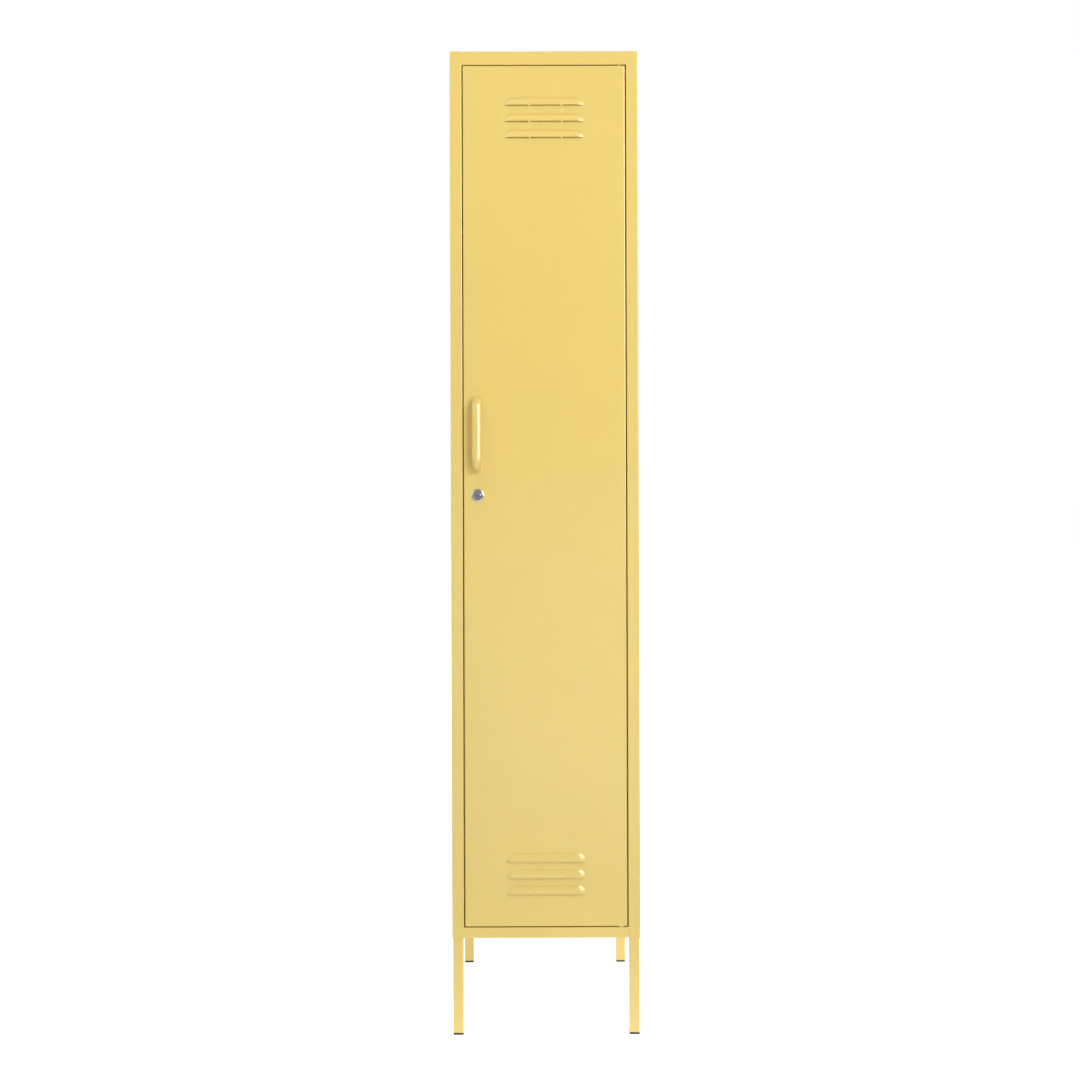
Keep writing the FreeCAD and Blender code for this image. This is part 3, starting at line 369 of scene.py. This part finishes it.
def plated(name, colour, roughness, grain, contrast):
    """Bright plated metal with fine lines in its gloss and tone."""
    material, graph, shader, place = new_material(name)
    lines = graph.add("ShaderNodeGroup", node_tree=polish_lines())
    graph.fill(lines, {"Vector": place, "Grain": 1.0 / grain})
    tone = lines.outputs["Tone"]
    graph.fill(
        shader,
        {
            "Metallic": 1.0,
            "Base Color": graph.between(tone, scaled(colour, 1.0 - contrast), colour),
            "Roughness": graph.ramp(tone, 0.0, 1.0, roughness * (1.0 + contrast), roughness),
        },
    )
    return material


def yellow_paint(finish):
    """Satin powder coat with a slight orange peel."""
    return coated(
        "satin_powder_coat", finish.paint, roughness=finish.paint_roughness, grain=finish.paint_grain,
        relief=finish.paint_relief, specular=finish.paint_specular,
    )


def foot_plastic(finish):
    """Dark plastic with a fine matt grain from its mould."""
    return coated(
        "moulded_foot_plastic", finish.foot, roughness=0.5, grain=0.0008, relief=0.00005, contrast=0.08
    )


def white_nylon(finish):
    """Smooth nylon, as it comes from its mould."""
    return coated("moulded_nylon", finish.nylon, roughness=0.42, grain=0.002, relief=0.00001)


def grey_rubber(finish):
    """Soft matt rubber."""
    return coated(
        "soft_rubber", finish.rubber, roughness=0.78, grain=0.0006, relief=0.00005, contrast=0.06
    )


def magnet_plastic(finish):
    """Matt strip of bonded magnet powder."""
    return coated(
        "bonded_magnet", finish.magnet, roughness=0.6, grain=0.0008, relief=0.00003, contrast=0.08
    )


def zinc_steel(finish):
    """Bright zinc with the lines of the steel under it."""
    return plated("bright_zinc", finish.zinc, roughness=0.3, grain=0.0009, contrast=0.2)


def lock_chrome(finish):
    """Polished chrome with faint lines."""
    return plated("polished_chrome", finish.chrome, roughness=0.07, grain=0.0012, contrast=0.08)


MATERIAL_MAKERS = {
    maker.__name__: maker
    for maker in (
        yellow_paint, foot_plastic, white_nylon, grey_rubber, magnet_plastic, zinc_steel, lock_chrome
    )
}
made_materials = {}


def finish_piece(piece, slot, finish):
    """Gives a piece the finish of a material slot, which is made the first time it is asked for."""
    if slot not in made_materials:
        made_materials[slot] = MATERIAL_MAKERS[slot](finish)
    piece.data.materials.clear()
    piece.data.materials.append(made_materials[slot])


def finish_nodes(context, *names):
    """Gives CAD nodes the finishes that the record names for them."""
    for name in names:
        finish_piece(frame["nodes"][name], SLOT_OF_NODE[name], context.scene.locker_finish)


def nodes_with(*words):
    """Names of the CAD nodes that hold one of the words."""
    return [name for name in sorted(frame["nodes"]) if any(word in name for word in words)]


def grid_faces(rows, columns, wrap_rows=False):
    """Corner numbers of the quads of a grid whose columns close on themselves, and its rows if asked."""
    first_rows = np.arange(rows if wrap_rows else rows - 1)
    row, column = np.meshgrid(first_rows, np.arange(columns), indexing="ij")
    next_row, next_column = (row + 1) % rows, (column + 1) % columns
    corners = (row * columns + column, row * columns + next_column,
               next_row * columns + next_column, next_row * columns + column)
    return np.stack(corners, axis=-1).reshape(-1, 4)


def add_surface(name, points, faces):
    """A smooth mesh object from grid points and quads, its poles and seams merged, its faces turned out."""
    mesh = bpy.data.meshes.new(name)
    mesh.from_pydata(points.reshape(-1, 3), [], faces)
    shape = bmesh.new()
    shape.from_mesh(mesh)
    bmesh.ops.remove_doubles(shape, verts=shape.verts, dist=MERGE_DISTANCE)
    bmesh.ops.recalc_face_normals(shape, faces=shape.faces)
    shape.to_mesh(mesh)
    shape.free()
    mesh.shade_smooth()
    piece = bpy.data.objects.new(name, mesh)
    bpy.context.scene.collection.objects.link(piece)
    return piece


def smooth_step(value, start, end):
    """0 before start, 1 after end, and 3t^2 - 2t^3 between them."""
    share = np.clip((value - start) / (end - start), 0.0, 1.0)
    return share * share * (3.0 - 2.0 * share)


def cross_recess(across, up, sizes):
    """Depth of a cross recess at a point of a screw's face: two arms with sloping walls and ends."""
    slope = RECESS_SLOPE * sizes.recess_width

    def inside(distance, size):
        """1 within a size about the middle, 0 outside it, and smooth between them."""
        return 1.0 - smooth_step(np.abs(distance), 0.5 * size - slope, 0.5 * size + slope)

    upright = inside(across, sizes.recess_width) * inside(up, sizes.recess_length)
    level = inside(up, sizes.recess_width) * inside(across, sizes.recess_length)
    return sizes.recess_depth * np.maximum(upright, level)


def pan_head_screw(centre, tip, seat, top, radius, sizes):
    """Points of a screw along +Y: its plain shank from tip to seat, then a pan head from seat to top.

    The profile r(s), y(s) is turned about the axis. The head's face is the dome
    y = top - fall * (r / radius)^power, lowered by the cross recess at (r cos a, r sin a).
    """
    fall = DOME_FALL * (top - seat)
    face_radius = np.linspace(radius, 0.0, HEAD_RINGS)
    face_rise = top - fall * (face_radius / radius) ** DOME_POWER
    shank_radius = [0.0, sizes.shank_radius, sizes.shank_radius, radius]
    shank_rise = [tip, tip, seat, seat]
    radii = np.concatenate([shank_radius, face_radius])[:, None]
    rise = np.concatenate([shank_rise, face_rise])[:, None]
    across, up = radii * np.cos(TURN_ANGLES), radii * np.sin(TURN_ANGLES)
    on_face = (np.arange(len(radii)) >= len(shank_radius))[:, None]
    along = rise - on_face * cross_recess(across, up, sizes)
    return np.stack([centre.x + across, along, centre.z + up], axis=-1)


def barrel_thread(axis, start, end, radius, sizes):
    """Points of a thread on a barrel along Y: the closed sleeve
    r(y, a) = radius + height * triangle(y / pitch - a / 2 pi), which runs out to nothing at both ends.
    """
    rows = int((end - start) / sizes.thread_pitch * THREAD_ROWS)
    along = np.linspace(start, end, rows)[:, None]
    phase = (along - start) / sizes.thread_pitch - TURN_ANGLES / (2.0 * np.pi)
    triangle = 1.0 - np.abs(2.0 * (phase % 1.0) - 1.0)
    runout = THREAD_RUNOUT * sizes.thread_pitch
    ends = smooth_step(along, start, start + runout) * (1.0 - smooth_step(along, end - runout, end))
    outer = radius + sizes.thread_height * triangle * ends
    inner = np.full((rows, TURN_STEPS), radius - sizes.thread_height)
    radii = np.concatenate([outer, inner[::-1]])
    depth = np.concatenate([along, along[::-1]]) * np.ones_like(TURN_ANGLES)
    across, up = radii * np.cos(TURN_ANGLES), radii * np.sin(TURN_ANGLES)
    return np.stack([axis.x + across, depth, axis.z + up], axis=-1)


def barrel_radius(axis, behind):
    """Largest distance from the lock's axis of those points of its housing that lie behind a depth."""
    mesh = frame["nodes"]["lock_housing"].data
    points = np.empty(len(mesh.vertices) * 3)
    mesh.vertices.foreach_get("co", points)
    points = points.reshape(-1, 3)
    barrel = points[points[:, 1] > behind]
    return float(np.hypot(barrel[:, 0] - axis.x, barrel[:, 2] - axis.z).max())


class LOCKER_OT_carcass(bpy.types.Operator):
    """Powder coat on the side panels, back, top and floor"""

    bl_idname = "locker.carcass"
    bl_label = "Carcass panels"

    def execute(self, context):
        finish_nodes(context, *nodes_with("side_panel", "back_panel", "top_panel", "floor_panel"))
        return {"FINISHED"}


class LOCKER_OT_legs(bpy.types.Operator):
    """Legs in paint, foot caps in moulded plastic and leg bolts in zinc"""

    bl_idname = "locker.legs"
    bl_label = "Legs and feet"

    def execute(self, context):
        finish_nodes(context, *nodes_with("_leg", "_foot", "leg_bolts"))
        return {"FINISHED"}


class LOCKER_OT_shelves(bpy.types.Operator):
    """Shelves and hanging rail in paint, shelf clips in zinc"""

    bl_idname = "locker.shelves"
    bl_label = "Shelves and rail"

    def execute(self, context):
        finish_nodes(context, *nodes_with("_shelf", "rail"))
        return {"FINISHED"}


class LOCKER_OT_door(bpy.types.Operator):
    """Powder coat on the door's panel and stiffener"""

    bl_idname = "locker.door"
    bl_label = "Door"

    def execute(self, context):
        finish_nodes(context, "door_panel", "door_stiffener")
        return {"FINISHED"}


class LOCKER_OT_hinges(bpy.types.Operator):
    """Hinge pins and plates in paint, and bushes in nylon"""

    bl_idname = "locker.hinges"
    bl_label = "Hinges"

    def execute(self, context):
        finish_nodes(context, *nodes_with("hinge"))
        return {"FINISHED"}


class LOCKER_OT_stops(bpy.types.Operator):
    """Rubber bumpers and magnets behind the closed door"""

    bl_idname = "locker.stops"
    bl_label = "Door stops"

    def execute(self, context):
        finish_nodes(context, "door_bumpers", "door_magnets")
        return {"FINISHED"}


class LOCKER_OT_handle(bpy.types.Operator):
    """Painted pull, held from inside the door by two pan head screws with cross recesses"""

    bl_idname = "locker.handle"
    bl_label = "Pull handle"

    def execute(self, context):
        finish_nodes(context, "pull_handle")
        low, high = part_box("handle_screws")
        # The screws' heads and the lock's nut both seat on the inner face of the door's skin.
        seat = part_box("lock_nut")[0].y
        radius = 0.5 * (high.x - low.x)
        heights = {"lower_handle_screw": low.z + radius, "upper_handle_screw": high.z - radius}
        for name, height in heights.items():
            centre = Vector((low.x + radius, seat, height))
            points = pan_head_screw(centre, low.y, seat, high.y, radius, context.scene.locker_fittings)
            screw = add_surface(name, points, grid_faces(*points.shape[:2]))
            finish_piece(screw, "zinc_steel", context.scene.locker_finish)
            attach(screw, "door")
            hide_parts("handle_screws")
        return {"FINISHED"}


class LOCKER_OT_lock(bpy.types.Operator):
    """Chromed lock, with its barrel's thread, nut, cam and cam screw in zinc"""

    bl_idname = "locker.lock"
    bl_label = "Cam lock"

    def execute(self, context):
        finish, sizes = context.scene.locker_finish, context.scene.locker_fittings
        finish_nodes(context, "lock_housing", "lock_nut", "lock_plug", "lock_cam")
        plug_low, plug_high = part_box("lock_plug")
        axis = 0.5 * (plug_low + plug_high)
        start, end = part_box("lock_nut")[1].y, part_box("lock_housing")[1].y
        points = barrel_thread(axis, start, end, barrel_radius(axis, start), sizes)
        thread = add_surface("lock_barrel_thread", points, grid_faces(*points.shape[:2], wrap_rows=True))
        finish_piece(thread, "zinc_steel", finish)
        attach(thread, "door")
        low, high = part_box("lock_cam_screw")
        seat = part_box("lock_cam")[1].y
        points = pan_head_screw(axis, low.y, seat, high.y, 0.5 * (high.x - low.x), sizes)
        screw = add_surface("cam_screw", points, grid_faces(*points.shape[:2]))
        finish_piece(screw, "zinc_steel", finish)
        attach(screw, "lock_cylinder")
        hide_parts("lock_cam_screw")
        return {"FINISHED"}


def studio_floor(studio):
    """A pale floor: the disc (r cos a, r sin a) with rings that widen as r = reach * t^3.

    It glows for the camera, which sees it white, and near the legs for the locker and its gloss.
    """
    rings = studio.floor_radius * np.linspace(0.0, 1.0, FLOOR_RINGS)[:, None] ** 3
    level = np.full((FLOOR_RINGS, TURN_STEPS), -FLOOR_DROP)
    points = np.stack([rings * np.cos(TURN_ANGLES), rings * np.sin(TURN_ANGLES), level], axis=-1)
    floor = add_surface("studio_floor", points, grid_faces(FLOOR_RINGS, TURN_STEPS))
    material, graph, shader, place = new_material("pale_floor")
    cloud = graph.tone(place, FLOOR_CLOUDS)
    ray = graph.add("ShaderNodeLightPath").outputs
    seen = graph.ramp(ray["Is Camera Ray"], 0.0, 1.0, 0.0, studio.floor_glow)
    reach = graph.add("ShaderNodeVectorMath", {0: place}, operation="LENGTH").outputs["Value"]
    lift = graph.ramp(reach, LIFT_FROM, LIFT_TO, studio.floor_lift, 0.0)
    near = graph.ramp(reach, GLOSS_FROM, GLOSS_TO, studio.floor_gloss, 0.0)
    reflected = graph.calculate("MULTIPLY", near, ray["Is Glossy Ray"])
    strength = graph.calculate("MAXIMUM", graph.calculate("MAXIMUM", seen, reflected), lift)
    graph.fill(
        shader,
        {
            "Base Color": graph.between(cloud, scaled(studio.floor, FLOOR_SHADE), studio.floor),
            "Roughness": FLOOR_ROUGHNESS,
            "Emission Color": WHITE,
            "Emission Strength": strength,
        },
    )
    floor.data.materials.append(material)


def studio_world(studio):
    """White to the camera. Light falls from overhead and from the rear, and gloss shows bright walls,
    with a dim ceiling and a dim room behind the camera.
    """
    world = bpy.data.worlds.new("studio")
    world.use_nodes = True
    graph = NodeGraph(world.node_tree)
    direction = graph.add("ShaderNodeTexCoord").outputs["Generated"]
    part = graph.add("ShaderNodeSeparateXYZ", {"Vector": direction}).outputs
    upward = (part["Z"], math.sin(CEILING_FROM), math.sin(CEILING_TO))
    overhead = graph.ramp(*upward, 0.0, studio.overhead)
    walls = graph.ramp(*upward, studio.wall_gloss, studio.wall_gloss * studio.ceiling_gloss)
    dimmed = graph.ramp(part["Y"], -math.cos(BEHIND_FROM), -math.cos(BEHIND_TO), studio.behind, 1.0)
    rear = graph.ramp(part["Y"], math.sin(REAR_FROM), math.sin(REAR_TO), 0.0, studio.rear)
    soft_light = graph.calculate("MAXIMUM", overhead, rear)
    room = graph.calculate("MULTIPLY", walls, dimmed)
    ray = graph.add("ShaderNodeLightPath").outputs
    fallen = graph.calculate("MULTIPLY", soft_light, ray["Is Diffuse Ray"])
    reflected = graph.calculate("MULTIPLY", room, ray["Is Glossy Ray"])
    on_locker = graph.calculate("MAXIMUM", fallen, reflected)
    strength = graph.calculate("MAXIMUM", on_locker, ray["Is Camera Ray"])
    graph.fill(world.node_tree.nodes["Background"], {"Color": WHITE, "Strength": strength})
    bpy.context.scene.world = world


def soft_box(name, place, target, width, height, power, glossy):
    """A rectangular light that faces a target and either lights surfaces or shows in their gloss."""
    lamp = bpy.data.lights.new(name, "AREA")
    lamp.shape = "RECTANGLE"
    lamp.size, lamp.size_y = width, height
    lamp.energy = power
    light = bpy.data.objects.new(name, lamp)
    light.location = place
    light.rotation_euler = (Vector(target) - Vector(place)).to_track_quat("-Z", "Y").to_euler()
    light.visible_camera = False
    light.visible_glossy = glossy
    light.visible_diffuse = not glossy
    bpy.context.scene.collection.objects.link(light)


def studio_camera(studio):
    """A camera that looks along +Y, turned, tilted and rolled by small angles, with a shifted lens."""
    camera = bpy.data.objects.new("camera", bpy.data.cameras.new("camera"))
    camera.data.lens = studio.camera_lens
    camera.data.sensor_width = SENSOR_WIDTH
    camera.data.shift_y = studio.camera_shift
    camera.location = studio.camera_place
    aim = Euler((math.radians(90.0) + studio.camera_tilt, 0.0, -studio.camera_turn)).to_matrix()
    camera.rotation_euler = (aim @ Matrix.Rotation(studio.camera_roll, 3, "Z")).to_euler()
    bpy.context.scene.collection.objects.link(camera)
    bpy.context.scene.camera = camera


class LOCKER_OT_studio(bpy.types.Operator):
    """Pale floor, white room, soft boxes, and a camera about level with the locker's middle"""

    bl_idname = "locker.studio"
    bl_label = "Studio"

    def execute(self, context):
        studio = context.scene.locker_studio
        middle = Vector((0.0, 0.0, 0.5 * CAD_BOX[1][2]))
        studio_floor(studio)
        studio_world(studio)
        for name, glossy in (("key", False), ("side", True), ("fill", False), ("front", False)):
            place, width, height, power = (
                getattr(studio, f"{name}_{size}") for size in ("place", "width", "height", "power")
            )
            soft_box(f"{name}_light", place, middle, width, height, power, glossy)
        studio_camera(studio)
        context.scene.view_settings.view_transform = "Standard"
        return {"FINISHED"}


PIECE_OPERATORS = (
    LOCKER_OT_carcass, LOCKER_OT_legs, LOCKER_OT_shelves, LOCKER_OT_door, LOCKER_OT_hinges,
    LOCKER_OT_stops, LOCKER_OT_handle, LOCKER_OT_lock, LOCKER_OT_studio,
)


class LOCKER_PT_panel(bpy.types.Panel):
    """The locker's pieces and studio, in the order in which they are made"""

    bl_idname = "LOCKER_PT_panel"
    bl_label = "Metal locker"
    bl_space_type = "VIEW_3D"
    bl_region_type = "UI"
    bl_category = "Locker"

    def draw(self, context):
        for operator in PIECE_OPERATORS:
            self.layout.operator(operator.bl_idname)


PROPERTY_GROUPS = {
    "locker_finish": LockerFinish,
    "locker_fittings": LockerFittings,
    "locker_studio": LockerStudio,
}
CLASSES = (*PROPERTY_GROUPS.values(), *PIECE_OPERATORS, LOCKER_PT_panel)


def register():
    """Adds the classes, and the property groups to the scene."""
    for each in CLASSES:
        bpy.utils.register_class(each)
    for name, group in PROPERTY_GROUPS.items():
        setattr(bpy.types.Scene, name, bpy.props.PointerProperty(type=group))


def unregister():
    """Takes away what register added."""
    for name in PROPERTY_GROUPS:
        delattr(bpy.types.Scene, name)
    for each in reversed(CLASSES):
        bpy.utils.unregister_class(each)


def main():
    """Makes the pieces and the studio."""
    register()
    for operator in PIECE_OPERATORS:
        category, name = operator.bl_idname.split(".")
        getattr(getattr(bpy.ops, category), name)()


if __name__ == "__main__":
    main()
